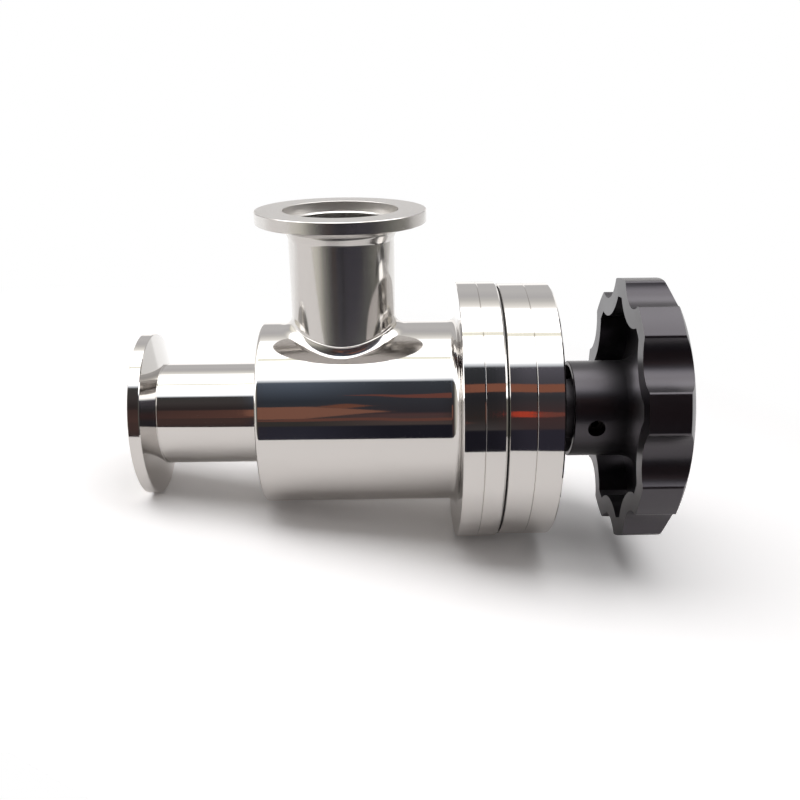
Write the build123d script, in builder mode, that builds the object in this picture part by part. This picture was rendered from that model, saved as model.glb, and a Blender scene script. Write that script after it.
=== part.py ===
from build123d import *
import os
from math import asin, cos, degrees, radians, sin, tan

# Vacuum angle valve with a bellows-sealed disc, worked by hand.
# X runs along the main axis, from the inlet face to the handwheel. Z runs up the side port.
# The origin is the centre of the inlet flange's face. Lengths are in millimetres.

# Nozzles: small-flange ends and the tubes behind them
face_to_centre = 50.0
flange_d = 40.0
flange_rim = 2.8
flange_taper = 15.0
seat_d = 27.0
seat_depth = 2.1
seat_mouth = 0.2
flange_edge = 0.2
tube_d = 25.0
tube_wall = 1.5
neck_step = 0.45
neck_length = 1.05
neck_taper = 1.0
tube_socket = 2.0
weld_leg = 1.2

# Body shell
body_d = 45.0
body_wall = 2.0
centre_to_end = 20.4
end_wall = 4.0
end_edge_r = 0.9
land_height = 0.6
land_width = 4.0
collar_height = 5.5
collar_fillet = 3.0
centre_to_flange = 27.15
flange_neck = 2.0

# Bolted stack between the body and the handwheel
body_flange_d = 64.0
body_flange_t = 4.85
bellows_flange_t = 4.85
gasket_t = 0.5
gasket_inset = 0.8
bonnet_step = 0.5
bonnet_plate_t = 6.15
bonnet_cover_t = 6.35
outer_edge = 0.4
joint_edge = 0.15
seal_t = 1.6
seal_width = 1.9
seal_inset = 0.6

# Cover screws
screw_inset = 3.7
screw_count = 6
screw_angle = 30.0
screw_d = 3.0
screw_head_d = 5.5
screw_head_h = 3.0
screw_sunk = 0.3
screw_socket = 2.5
screw_socket_depth = 1.5
tap_depth = 4.0
tip_gap = 0.5

# Fits
close_fit = 0.03
running_fit = 0.05
hole_clear = 0.2
loose_fit = 0.3

# Valve disc
lift = 10.0
disc_t = 5.0
disc_gap = 0.25
disc_overlap = 1.0
disc_seal_inset = 1.2
disc_seal_width = 2.2
disc_seal_depth = 2.1
disc_screw_d = 5.0
disc_screw_head_d = 10.0
disc_screw_length = 16.0
disc_screw_sunk = 0.2
disc_screw_socket = 3.0
disc_screw_socket_depth = 1.8

# Plunger, guide and bellows
carrier_t = 3.0
plunger_d = 17.0
plunger_bore_d = 12.6
plunger_bore_depth = 10.5
stop_gap = 0.5
guide_length = 18.85
guide_wall = 2.85
guide_pin_d = 2.4
guide_pin_inset = 4.0
key_depth = 1.3
bellows_gap = 0.8
bellows_fold = 3.6
bellows_band = 0.7
bellows_folds = 9
bellows_end_length = 2.0

# Rising stem and its nut
thread_d = 12.0
thread_gap = 1.0
shank_d = 9.0
collar_seat_d = 7.0
collar_length = 3.9
thrust_pad_t = 1.9
plunger_cap_t = 4.45
wheel_seat_d = 10.0
stem_recess = 0.5
nut_flange_d = 26.0
nut_flange_t = 3.0
nut_d = 19.0
nut_length = 4.0
dowel_d = 2.0
dowel_reach = 2.5
wiper_d = 16.0
wiper_t = 2.0

# Handwheel
wheel_d = 64.8
wheel_lobes = 9
lobe_angle = 16.6
lobe_phase = 17.5
lobe_depth = 3.8
lobe_corner_r = 0.8
wheel_wall = 4.5
wheel_web = 5.5
wheel_width = 13.1
wheel_flat_d = 40.0
wheel_crown = 3.7
hub_d = 24.0
hub_length = 12.2
hub_edge = 0.2
hub_flare_r = 7.0
hub_gap = 5.85
hub_skirt = 1.0
hub_recess = 2.6
nose_d = 15.0
nose_gap = 0.8
set_screw_d = 4.2
set_screw_length = 4.0
set_screw_inset = 5.4
set_screw_angle = -5.0
set_screw_socket = 2.0

# Places that follow from the sizes above
flange_r = flange_d / 2
tube_r = tube_d / 2
bore_r = tube_r - tube_wall
seat_r = seat_d / 2
neck_r = tube_r + neck_step
cone_end = flange_rim + (flange_r - neck_r) * tan(radians(flange_taper))
flange_length = cone_end + neck_length + neck_taper
tube_top = face_to_centre - flange_length
body_r = body_d / 2
body_bore_r = body_r - body_wall
body_start = face_to_centre - centre_to_end
socket_floor = body_start + tube_socket
cavity_start = body_start + end_wall
land_plane = cavity_start + land_height
land_r = bore_r + land_width
collar_top = body_r + collar_height
flange_start = face_to_centre + centre_to_flange
shell_end = flange_start - flange_neck
body_flange_r = body_flange_d / 2
bonnet_r = body_flange_r - bonnet_step
screw_circle_r = bonnet_r - screw_inset
seal_plane = flange_start + body_flange_t
gasket_plane = seal_plane + bellows_flange_t
plate_start = gasket_plane + gasket_t
cover_start = plate_start + bonnet_plate_t
cover_end = cover_start + bonnet_cover_t
head_floor = cover_end - screw_sunk - screw_head_h
screw_tip = seal_plane - tap_depth + tip_gap
seal_r = body_bore_r + seal_inset
nut_r = nut_d / 2
nut_flange_r = nut_flange_d / 2
nut_start = cover_start - nut_flange_t
nut_end = cover_start + nut_length
dowel_r = (nut_r + nut_flange_r) / 2
disc_start = land_plane + disc_gap
disc_end = disc_start + disc_t
disc_r = land_r + disc_overlap
disc_seal_r = bore_r + disc_seal_inset
disc_screw_start = disc_start + disc_screw_sunk
disc_screw_r = disc_screw_d / 2
disc_screw_head_r = disc_screw_head_d / 2
disc_screw_cone = disc_screw_start + disc_screw_head_r - disc_screw_r
disc_screw_tip = disc_screw_start + disc_screw_length
plunger_r = plunger_d / 2
plunger_end = nut_start - stop_gap - lift
plunger_bore_r = plunger_bore_d / 2
plunger_floor = plunger_end - plunger_bore_depth
carrier_end = disc_end + carrier_t
guide_start = gasket_plane - guide_length
guide_bore_r = plunger_r + running_fit
guide_r = guide_bore_r + guide_wall
guide_pin_x = guide_start + guide_pin_inset
key_floor = plunger_r - key_depth
bellows_root_r = guide_r + bellows_gap
bellows_crest_r = bellows_root_r + bellows_fold + bellows_band
bellows_start = carrier_end + bellows_end_length
bellows_end = seal_plane - bellows_end_length
shank_r = shank_d / 2
thread_r = thread_d / 2
thread_start = plunger_end + thread_gap
stem_start = plunger_floor + thrust_pad_t + running_fit
cap_start = plunger_end - plunger_cap_t
collar_end = cap_start - running_fit
collar_start = collar_end - collar_length
wheel_r = wheel_d / 2
valley_r = wheel_r - lobe_depth
wheel_flat_r = wheel_flat_d / 2
crown_reach = wheel_r - wheel_flat_r
crown_r = (wheel_crown**2 + crown_reach**2) / (2 * wheel_crown)
crown_turn = degrees(asin((crown_reach + lobe_corner_r) / crown_r))
lobe_pitch = 360.0 / wheel_lobes
hub_r = hub_d / 2
hub_start = cover_end + hub_gap
rim_plane = hub_start + hub_length
wheel_front = rim_plane + wheel_width
web_plane = wheel_front - wheel_web
nose_r = nose_d / 2
nose_start = cover_end + nose_gap
recess_floor = hub_start + hub_recess
wheel_seat_r = wheel_seat_d / 2
stem_end = wheel_front - stem_recess
set_screw_r = set_screw_d / 2
set_screw_seat = wheel_seat_r + close_fit

main_axis = Axis((0, 0, 0), (1, 0, 0))
port_axis = Axis((face_to_centre, 0, 0), (0, 0, 1))


# Plane square to the main axis. Its local x is Y and its local y is Z.
def across(x):
    return Plane(origin=(x, 0, 0), x_dir=(0, 1, 0), z_dir=(1, 0, 0))


# Section of a plain ring about the main axis, between two ends and two radii.
def ring_section(start, end, inner_r, outer_r):
    with BuildSketch(Plane.XY) as section:
        with BuildLine():
            Polyline(
                (start, inner_r),
                (start, outer_r),
                (end, outer_r),
                (end, inner_r),
                close=True,
            )
        make_face()
    return section.sketch


# Circles on the circle of the cover screws, at one place along the main axis.
def screw_circles(x, radius):
    with BuildSketch(across(x)) as circles:
        with PolarLocations(screw_circle_r, screw_count, start_angle=screw_angle):
            Circle(radius)
    return circles.sketch


# Circle of the dowel between the stem nut and the bonnet cover.
def dowel_circle(x, radius):
    with BuildSketch(across(x)) as circle:
        with Locations((0, -dowel_r)):
            Circle(radius)
    return circle.sketch


# Section of a small flange: tapered back, centring seat and weld neck.
# The plane's local x is the radius and its local y the depth behind the face.
def flange_section(plane):
    with BuildSketch(plane) as section:
        with BuildLine():
            Polyline(
                (seat_r + seat_mouth, 0),
                (flange_r - flange_edge, 0),
                (flange_r, flange_edge),
                (flange_r, flange_rim),
                (neck_r, cone_end),
                (neck_r, flange_length - neck_taper),
                (tube_r, flange_length),
                (bore_r, flange_length),
                (bore_r, seat_depth),
                (seat_r, seat_depth),
                (seat_r, seat_mouth),
                close=True,
            )
        make_face()
    return section.sketch


inlet_plane = Plane(origin=(0, 0, 0), x_dir=(0, 1, 0), z_dir=(0, 0, -1))
with BuildPart() as inlet_flange:
    revolve(flange_section(inlet_plane), axis=main_axis)
inlet_flange.part.label = "inlet_flange"

port_plane = Plane(
    origin=(face_to_centre, 0, face_to_centre), x_dir=(1, 0, 0), z_dir=(0, 1, 0)
)
with BuildPart() as port_flange:
    revolve(flange_section(port_plane), axis=port_axis)
port_flange.part.label = "port_flange"

# Inlet tube: butts on its flange, enters the end wall and flares into its weld.
with BuildPart() as inlet_tube:
    with BuildSketch(Plane.XY):
        with BuildLine():
            Polyline(
                (body_start, tube_r + weld_leg),
                (body_start, tube_r),
                (socket_floor, tube_r),
                (socket_floor, bore_r),
                (flange_length, bore_r),
                (flange_length, tube_r),
                (body_start - weld_leg, tube_r),
            )
            CenterArc((body_start - weld_leg, tube_r + weld_leg), weld_leg, -90, 90)
        make_face()
    revolve(axis=main_axis)
inlet_tube.part.label = "inlet_tube"

# Body shell: a cup with the valve seat on its end wall and a collar drawn out for the port.
with BuildPart() as body_shell:
    with BuildSketch(across(body_start)):
        Circle(body_r)
    extrude(amount=shell_end - body_start)
    end_rim = body_shell.edges().sort_by(Axis.X)[0]
    fillet(end_rim, radius=end_edge_r)
    with BuildSketch(Plane.XY):
        with Locations((face_to_centre, 0)):
            Circle(tube_r)
    extrude(amount=collar_top)
    saddle = body_shell.edges().filter_by(GeomType.BSPLINE)
    fillet(saddle, radius=collar_fillet)
    with BuildSketch(Plane.XY):
        with BuildLine():
            Polyline(
                (body_start, 0),
                (body_start, tube_r + close_fit),
                (socket_floor, tube_r + close_fit),
                (socket_floor, bore_r),
                (land_plane, bore_r),
                (land_plane, land_r),
                (cavity_start, land_r),
                (cavity_start, body_bore_r),
                (shell_end, body_bore_r),
                (shell_end, 0),
                close=True,
            )
        make_face()
    revolve(axis=main_axis, mode=Mode.SUBTRACT)
    with BuildSketch(Plane.XY):
        with Locations((face_to_centre, 0)):
            Circle(bore_r)
    extrude(amount=collar_top, mode=Mode.SUBTRACT)
body_shell.part.label = "body_shell"

with BuildPart() as port_tube:
    with BuildSketch(Plane.XY.offset(collar_top)):
        with Locations((face_to_centre, 0)):
            Circle(tube_r)
            Circle(bore_r, mode=Mode.SUBTRACT)
    extrude(amount=tube_top - collar_top)
port_tube.part.label = "port_tube"

# Body flange: weld neck with a hollow fillet, seal groove and threaded holes.
with BuildPart() as body_flange:
    with BuildSketch(Plane.XY):
        with BuildLine():
            CenterArc((shell_end, body_r + flange_neck), flange_neck, -90, 90)
            Polyline(
                (flange_start, body_r + flange_neck),
                (flange_start, body_flange_r - joint_edge),
                (flange_start + joint_edge, body_flange_r),
                (seal_plane - joint_edge, body_flange_r),
                (seal_plane, body_flange_r - joint_edge),
                (seal_plane, seal_r + seal_width),
                (seal_plane - seal_t, seal_r + seal_width),
                (seal_plane - seal_t, seal_r),
                (seal_plane, seal_r),
                (seal_plane, body_bore_r),
                (shell_end, body_bore_r),
                (shell_end, body_r),
            )
        make_face()
    revolve(axis=main_axis)
    extrude(
        screw_circles(seal_plane, screw_d / 2 + close_fit),
        amount=-tap_depth,
        mode=Mode.SUBTRACT,
    )
body_flange.part.label = "body_flange"

# Body seal: a ring squeezed flat in its groove.
with BuildPart() as body_seal:
    revolve(
        ring_section(
            seal_plane - seal_t,
            seal_plane,
            seal_r + close_fit,
            seal_r + seal_width - close_fit,
        ),
        axis=main_axis,
    )
body_seal.part.label = "body_seal"

# Bellows flange: holds the bellows on a short boss and the guide bush in its bore.
with BuildPart() as bellows_flange:
    with BuildSketch(Plane.XY):
        with BuildLine():
            Polyline(
                (bellows_end, guide_r + close_fit),
                (bellows_end, bellows_crest_r),
                (seal_plane, bellows_crest_r),
                (seal_plane, body_flange_r - joint_edge),
                (seal_plane + joint_edge, body_flange_r),
                (gasket_plane - outer_edge, body_flange_r),
                (gasket_plane, body_flange_r - outer_edge),
                (gasket_plane, guide_r + close_fit),
                close=True,
            )
        make_face()
    revolve(axis=main_axis)
    extrude(
        screw_circles(seal_plane, screw_d / 2 + hole_clear),
        amount=bellows_flange_t,
        mode=Mode.SUBTRACT,
    )
bellows_flange.part.label = "bellows_flange"

with BuildPart() as flange_gasket:
    with BuildSketch(across(gasket_plane)):
        Circle(bonnet_r - gasket_inset)
        Circle(nut_flange_r + gasket_inset, mode=Mode.SUBTRACT)
    extrude(amount=gasket_t)
    extrude(
        screw_circles(gasket_plane, screw_d / 2 + hole_clear),
        amount=gasket_t,
        mode=Mode.SUBTRACT,
    )
flange_gasket.part.label = "flange_gasket"

# Bonnet plate: its bore clears the flange of the stem nut.
with BuildPart() as bonnet_plate:
    revolve(
        ring_section(plate_start, cover_start, nut_flange_r + close_fit, bonnet_r),
        axis=main_axis,
    )
    circles = bonnet_plate.edges().filter_by(GeomType.CIRCLE)
    chamfer(circles.group_by(SortBy.RADIUS)[-1], length=joint_edge)
    extrude(
        screw_circles(plate_start, screw_d / 2 + hole_clear),
        amount=bonnet_plate_t,
        mode=Mode.SUBTRACT,
    )
bonnet_plate.part.label = "bonnet_plate"

# Bonnet cover: bored for the stem nut and the wiper, with sunk screw heads.
with BuildPart() as bonnet_cover:
    with BuildSketch(Plane.XY):
        with BuildLine():
            Polyline(
                (cover_start, nut_r + close_fit),
                (cover_start, bonnet_r - joint_edge),
                (cover_start + joint_edge, bonnet_r),
                (cover_end - outer_edge, bonnet_r),
                (cover_end, bonnet_r - outer_edge),
                (cover_end, wiper_d / 2 + close_fit),
                (nut_end, wiper_d / 2 + close_fit),
                (nut_end, nut_r + close_fit),
                close=True,
            )
        make_face()
    revolve(axis=main_axis)
    extrude(
        screw_circles(cover_start, screw_d / 2 + hole_clear),
        amount=bonnet_cover_t,
        mode=Mode.SUBTRACT,
    )
    extrude(
        screw_circles(head_floor, screw_head_d / 2 + hole_clear),
        amount=cover_end - head_floor,
        mode=Mode.SUBTRACT,
    )
    extrude(
        dowel_circle(cover_start, dowel_d / 2 + close_fit),
        amount=dowel_reach + loose_fit,
        mode=Mode.SUBTRACT,
    )
bonnet_cover.part.label = "bonnet_cover"

# Cover screws: heads sunk in the cover, shanks that reach into the body flange.
with BuildPart() as cover_screws:
    extrude(screw_circles(head_floor, screw_head_d / 2), amount=screw_head_h)
    extrude(screw_circles(screw_tip, screw_d / 2), amount=head_floor - screw_tip)
    with BuildSketch(across(head_floor + screw_head_h)):
        with PolarLocations(screw_circle_r, screw_count, start_angle=screw_angle):
            RegularPolygon(screw_socket / 2, side_count=6, major_radius=False)
    extrude(amount=-screw_socket_depth, mode=Mode.SUBTRACT)
cover_screws.part.label = "cover_screws"

# Stem nut: its flange shoulders on the cover, and a dowel keeps it from turning.
with BuildPart() as stem_nut:
    with BuildSketch(Plane.XY):
        with BuildLine():
            Polyline(
                (nut_start, thread_r + running_fit),
                (nut_start, nut_flange_r),
                (cover_start, nut_flange_r),
                (cover_start, nut_r),
                (nut_end, nut_r),
                (nut_end, thread_r + running_fit),
                close=True,
            )
        make_face()
    revolve(axis=main_axis)
    extrude(
        dowel_circle(nut_start, dowel_d / 2 + close_fit),
        amount=nut_flange_t,
        mode=Mode.SUBTRACT,
    )
stem_nut.part.label = "stem_nut"

with BuildPart() as nut_dowel:
    extrude(dowel_circle(nut_start, dowel_d / 2), amount=nut_flange_t + dowel_reach)
nut_dowel.part.label = "nut_dowel"

with BuildPart() as stem_wiper:
    revolve(
        ring_section(nut_end, nut_end + wiper_t, thread_r + 2 * running_fit, wiper_d / 2),
        axis=main_axis,
    )
stem_wiper.part.label = "stem_wiper"

# Guide bush: a sleeve inside the bellows, with a pin that keeps the plunger from turning.
with BuildPart() as guide_bush:
    revolve(
        ring_section(guide_start, gasket_plane, guide_bore_r, guide_r), axis=main_axis
    )
    with BuildSketch(Plane.XY):
        with Locations((guide_pin_x, 0)):
            Circle(guide_pin_d / 2 + close_fit)
    extrude(amount=guide_r, mode=Mode.SUBTRACT)
guide_bush.part.label = "guide_bush"

pin_start = key_floor + running_fit
with BuildPart() as guide_pin:
    with BuildSketch(Plane.XY.offset(pin_start)):
        with Locations((guide_pin_x, 0)):
            Circle(guide_pin_d / 2)
    extrude(amount=guide_r - close_fit - pin_start)
guide_pin.part.label = "guide_pin"

# Valve disc: grooved for its seal and countersunk for its screw.
with BuildPart() as valve_disc:
    with BuildSketch(Plane.XY):
        with BuildLine():
            Polyline(
                (disc_start, disc_screw_head_r + close_fit),
                (disc_start, disc_seal_r),
                (disc_start + disc_seal_depth, disc_seal_r),
                (disc_start + disc_seal_depth, disc_seal_r + disc_seal_width),
                (disc_start, disc_seal_r + disc_seal_width),
                (disc_start, disc_r - outer_edge),
                (disc_start + outer_edge, disc_r),
                (disc_end, disc_r),
                (disc_end, disc_screw_r + close_fit),
                (disc_screw_cone, disc_screw_r + close_fit),
                (disc_screw_start, disc_screw_head_r + close_fit),
                close=True,
            )
        make_face()
    revolve(axis=main_axis)
valve_disc.part.label = "valve_disc"

# Valve seal: stands a little proud of the disc and meets the land round the inlet.
with BuildPart() as valve_seal:
    revolve(
        ring_section(
            land_plane + running_fit,
            disc_start + disc_seal_depth,
            disc_seal_r + close_fit,
            disc_seal_r + disc_seal_width - close_fit,
        ),
        axis=main_axis,
    )
valve_seal.part.label = "valve_seal"

# Countersunk screw that clamps the valve disc to the plunger.
with BuildPart() as disc_screw:
    with BuildSketch(Plane.XY):
        with BuildLine():
            Polyline(
                (disc_screw_start, 0),
                (disc_screw_start, disc_screw_head_r),
                (disc_screw_cone, disc_screw_r),
                (disc_screw_tip, disc_screw_r),
                (disc_screw_tip, 0),
                close=True,
            )
        make_face()
    revolve(axis=main_axis)
    with BuildSketch(across(disc_screw_start)):
        RegularPolygon(disc_screw_socket / 2, side_count=6, major_radius=False)
    extrude(amount=disc_screw_socket_depth, mode=Mode.SUBTRACT)
disc_screw.part.label = "disc_screw"

# Plunger: carrier plate and rod, with a screw hole, a bore for the stem's end and a keyway.
with BuildPart() as plunger:
    with BuildSketch(Plane.XY):
        with BuildLine():
            Polyline(
                (disc_end, disc_screw_r + close_fit),
                (disc_end, bellows_crest_r),
                (carrier_end, bellows_crest_r),
                (carrier_end, plunger_r),
                (plunger_end - outer_edge, plunger_r),
                (plunger_end, plunger_r - outer_edge),
                (plunger_end, plunger_bore_r),
                (plunger_floor, plunger_bore_r),
                (plunger_floor, 0),
                (disc_screw_tip + tip_gap, 0),
                (disc_screw_tip + tip_gap, disc_screw_r + close_fit),
                close=True,
            )
        make_face()
    revolve(axis=main_axis)
    with BuildSketch(Plane.XY.offset(key_floor)):
        with Locations((guide_pin_x - lift / 2, 0)):
            SlotCenterToCenter(lift + 2 * loose_fit, guide_pin_d + 4 * running_fit)
    extrude(amount=key_depth, mode=Mode.SUBTRACT)
plunger.part.label = "plunger"

# End ring that joins the bellows to the plunger's carrier plate.
with BuildPart() as bellows_ring:
    revolve(
        ring_section(carrier_end, bellows_start, bellows_root_r, bellows_crest_r),
        axis=main_axis,
    )
bellows_ring.part.label = "bellows_ring"

# Bellows: a thin wall that folds out and in, from one end ring to the other.
half_fold = (bellows_end - bellows_start) / (2 * bellows_folds)
wall_out = []
wall_in = []
for step in range(2 * bellows_folds + 1):
    fold_x = bellows_start + step * half_fold
    fold_r = bellows_root_r + bellows_fold * (step % 2)
    wall_in.append((fold_x, fold_r))
    wall_out.append((fold_x, fold_r + bellows_band))
with BuildPart() as bellows:
    with BuildSketch(Plane.XY):
        with BuildLine():
            Polyline(*wall_out, *reversed(wall_in), close=True)
        make_face()
    revolve(axis=main_axis)
bellows.part.label = "bellows"

# Hard pad in the plunger, for the stem to push on.
with BuildPart() as thrust_pad:
    with BuildSketch(across(plunger_floor)):
        Circle(plunger_bore_r - close_fit)
    extrude(amount=thrust_pad_t)
thrust_pad.part.label = "thrust_pad"

# Collar on the stem's end, for the stem to pull with.
with BuildPart() as thrust_collar:
    revolve(
        ring_section(
            collar_start,
            collar_end,
            collar_seat_d / 2 + close_fit,
            plunger_bore_r - loose_fit,
        ),
        axis=main_axis,
    )
thrust_collar.part.label = "thrust_collar"

# Cap that shuts the collar in the plunger.
with BuildPart() as plunger_cap:
    revolve(
        ring_section(
            cap_start, plunger_end, shank_r + 2 * running_fit, plunger_bore_r - close_fit
        ),
        axis=main_axis,
    )
plunger_cap.part.label = "plunger_cap"

# Stem: collar seat, shank, screw thread's outside and the seat of the handwheel.
with BuildPart() as stem:
    with BuildSketch(Plane.XY):
        with BuildLine():
            Polyline(
                (stem_start, 0),
                (stem_start, collar_seat_d / 2),
                (collar_end, collar_seat_d / 2),
                (collar_end, shank_r),
                (thread_start, shank_r),
                (thread_start + outer_edge, thread_r),
                (nose_start, thread_r),
                (nose_start, wheel_seat_r),
                (stem_end - outer_edge, wheel_seat_r),
                (stem_end, wheel_seat_r - outer_edge),
                (stem_end, 0),
                close=True,
            )
        make_face()
    revolve(axis=main_axis)
stem.part.label = "stem"


# Point at a radius and an angle in the wheel's plane, turned up from the side facing -Y.
def wheel_point(radius, angle):
    return (radius * cos(radians(angle)), radius * sin(radians(angle)))


# Outline of the wheel: each lobe is an arc about the axis, each valley a hollow arc.
def lobed_outline():
    with BuildLine() as outline:
        for lobe in range(wheel_lobes):
            middle = lobe_phase + lobe * lobe_pitch
            lobe_start = middle - lobe_angle / 2
            lobe_end = middle + lobe_angle / 2
            ThreePointArc(
                wheel_point(wheel_r, lobe_start),
                wheel_point(wheel_r, middle),
                wheel_point(wheel_r, lobe_end),
            )
            ThreePointArc(
                wheel_point(wheel_r, lobe_end),
                wheel_point(valley_r, middle + lobe_pitch / 2),
                wheel_point(wheel_r, lobe_start + lobe_pitch),
            )
    return outline.line


# Handwheel: lobed rim open at the back, crowned web at the front, and a hub that flares into
# the web. The hub's end is hollow round a nose that seats on the stem's shoulder.
wheel_plane = Plane(origin=(rim_plane, 0, 0), x_dir=(0, -1, 0), z_dir=(-1, 0, 0))
set_screw_plane = Plane(
    origin=(hub_start + set_screw_inset, 0, 0),
    x_dir=(1, 0, 0),
    z_dir=(0, -cos(radians(set_screw_angle)), sin(radians(set_screw_angle))),
)
with BuildPart() as handwheel:
    with BuildSketch(wheel_plane) as rim:
        add(lobed_outline())
        make_face()
        fillet(rim.vertices(), radius=lobe_corner_r)
    extrude(amount=-(wheel_width + wheel_crown))
    with BuildSketch(Plane.XY):
        with BuildLine():
            crown = CenterArc((wheel_front - crown_r, wheel_flat_r), crown_r, 0, crown_turn)
            Polyline(
                crown @ 1,
                (hub_start, (crown @ 1).Y),
                (hub_start, 0),
                (wheel_front, 0),
                crown @ 0,
            )
        make_face()
    revolve(axis=main_axis, mode=Mode.INTERSECT)
    with BuildSketch(wheel_plane):
        add(lobed_outline())
        make_face()
        offset(amount=-wheel_wall, kind=Kind.INTERSECTION)
    extrude(amount=-(wheel_width - wheel_web), mode=Mode.SUBTRACT)
    with BuildSketch(Plane.XY):
        with BuildLine():
            Polyline(
                (web_plane, hub_r + hub_flare_r),
                (web_plane + wheel_web / 2, hub_r + hub_flare_r),
                (web_plane + wheel_web / 2, 0),
                (nose_start, 0),
                (nose_start, nose_r),
                (recess_floor, nose_r),
                (recess_floor, hub_r - hub_skirt),
                (hub_start, hub_r - hub_skirt),
                (hub_start, hub_r - hub_edge),
                (hub_start + hub_edge, hub_r),
                (web_plane - hub_flare_r, hub_r),
            )
            CenterArc((web_plane - hub_flare_r, hub_r + hub_flare_r), hub_flare_r, -90, 90)
        make_face()
    revolve(axis=main_axis)
    with BuildSketch(across(nose_start)):
        Circle(wheel_seat_r + close_fit)
    extrude(amount=wheel_front - nose_start, mode=Mode.SUBTRACT)
    with BuildSketch(set_screw_plane):
        Circle(set_screw_r + close_fit)
    extrude(amount=hub_r, mode=Mode.SUBTRACT)
handwheel.part.label = "handwheel"

# Set screw that holds the hub on the stem.
with BuildPart() as hub_set_screw:
    with BuildSketch(set_screw_plane.offset(set_screw_seat)):
        Circle(set_screw_r)
    extrude(amount=set_screw_length)
    with BuildSketch(set_screw_plane.offset(set_screw_seat + set_screw_length)):
        RegularPolygon(set_screw_socket / 2, side_count=6, major_radius=False)
    extrude(amount=-set_screw_socket, mode=Mode.SUBTRACT)
hub_set_screw.part.label = "hub_set_screw"

pieces = [
    inlet_flange,
    port_flange,
    inlet_tube,
    port_tube,
    body_shell,
    body_flange,
    body_seal,
    bellows_flange,
    flange_gasket,
    bonnet_plate,
    bonnet_cover,
    cover_screws,
    stem_nut,
    nut_dowel,
    stem_wiper,
    guide_bush,
    guide_pin,
    valve_disc,
    valve_seal,
    disc_screw,
    plunger,
    bellows_ring,
    bellows,
    thrust_pad,
    thrust_collar,
    plunger_cap,
    stem,
    handwheel,
    hub_set_screw,
]

os.makedirs("parts", exist_ok=True)
for piece in pieces:
    export_step(piece.part, f"parts/{piece.part.label}.step")
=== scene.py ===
from math import cos, pi, radians, sin, tan
import bmesh
import bpy
from mathutils import Matrix, Vector


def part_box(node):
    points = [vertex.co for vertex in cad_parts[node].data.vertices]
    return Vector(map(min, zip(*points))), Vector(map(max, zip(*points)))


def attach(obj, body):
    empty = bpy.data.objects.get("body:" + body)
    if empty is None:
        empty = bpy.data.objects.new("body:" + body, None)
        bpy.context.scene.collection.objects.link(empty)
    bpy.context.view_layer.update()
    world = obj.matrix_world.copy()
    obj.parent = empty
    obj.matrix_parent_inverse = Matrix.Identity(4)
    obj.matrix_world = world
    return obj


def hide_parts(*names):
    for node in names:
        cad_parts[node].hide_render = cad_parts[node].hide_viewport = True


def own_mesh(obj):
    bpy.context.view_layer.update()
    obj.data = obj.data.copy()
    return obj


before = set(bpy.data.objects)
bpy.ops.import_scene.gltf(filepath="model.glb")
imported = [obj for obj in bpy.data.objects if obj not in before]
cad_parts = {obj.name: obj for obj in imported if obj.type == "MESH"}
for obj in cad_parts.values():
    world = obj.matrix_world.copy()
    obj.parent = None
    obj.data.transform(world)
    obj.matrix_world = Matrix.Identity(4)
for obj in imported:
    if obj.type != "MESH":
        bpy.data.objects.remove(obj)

# A vacuum angle valve: mirror-polished stainless steel and a black lobed handwheel.
# Metres, in the CAD model's own frame: X along the main axis, Z up the side port.
# The pieces' own sizes are in millimetres.

mm = 0.001
steelTone = "#cdcac7"
scratchBlur = 0.45  # roughness of the fine scratches that are left under the polish
noiseLow, noiseHigh = 0.3, 0.7  # nearly all values of a noise texture lie between these
mergeWithin = 0.002 * mm  # corners nearer than this become one
sharpFrom = radians(28)  # edges that turn by more than this stay sharp
scene = bpy.context.scene
scene.view_settings.view_transform = "Standard"
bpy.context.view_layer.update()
print("frame loaded,", len(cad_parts), "CAD nodes")

portLow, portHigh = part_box("port_flange")
portX = (portLow.x + portHigh.x) / 2
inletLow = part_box("inlet_flange")[0]
stackLow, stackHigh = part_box("body_flange")


def hexColour(code):  # sRGB hex to linear RGBA
    parts = [int(code[i:i + 2], 16) / 255 for i in (1, 3, 5)]
    return [c / 12.92 if c <= 0.04045 else ((c + 0.055) / 1.055) ** 2.4 for c in parts] + [1.0]


# Adds a node with its settings and links. Inputs go by name or number. On a Map Range, 1 and 2
# are the ends that it maps from, and 3 and 4 those that it maps to. On a colour Mix, 6 and 7
# are its two colours.
def addNode(tree, kind, inputs=None, **settings):
    node = tree.nodes.new(kind)
    for name, value in settings.items():
        setattr(node, name, value)
    for key, value in (inputs or {}).items():
        if isinstance(value, bpy.types.NodeSocket):
            tree.links.new(value, node.inputs[key])
        else:
            node.inputs[key].default_value = value
    return node


def newMaterial(name):
    material = bpy.data.materials.new(name)
    material.use_nodes = True
    material.node_tree.nodes.clear()
    return material, material.node_tree


def finishMaterial(tree, surface):
    addNode(tree, "ShaderNodeOutputMaterial", {"Surface": surface})


def setRamp(ramp, stops):  # each stop is its place on the ramp and its colour
    elements = ramp.color_ramp.elements
    while len(elements) < len(stops):
        elements.new(0.5)  # the next loop moves it to its place
    for element, (place, tone) in zip(elements, stops):
        element.position = place
        element.color = hexColour(tone)


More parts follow.
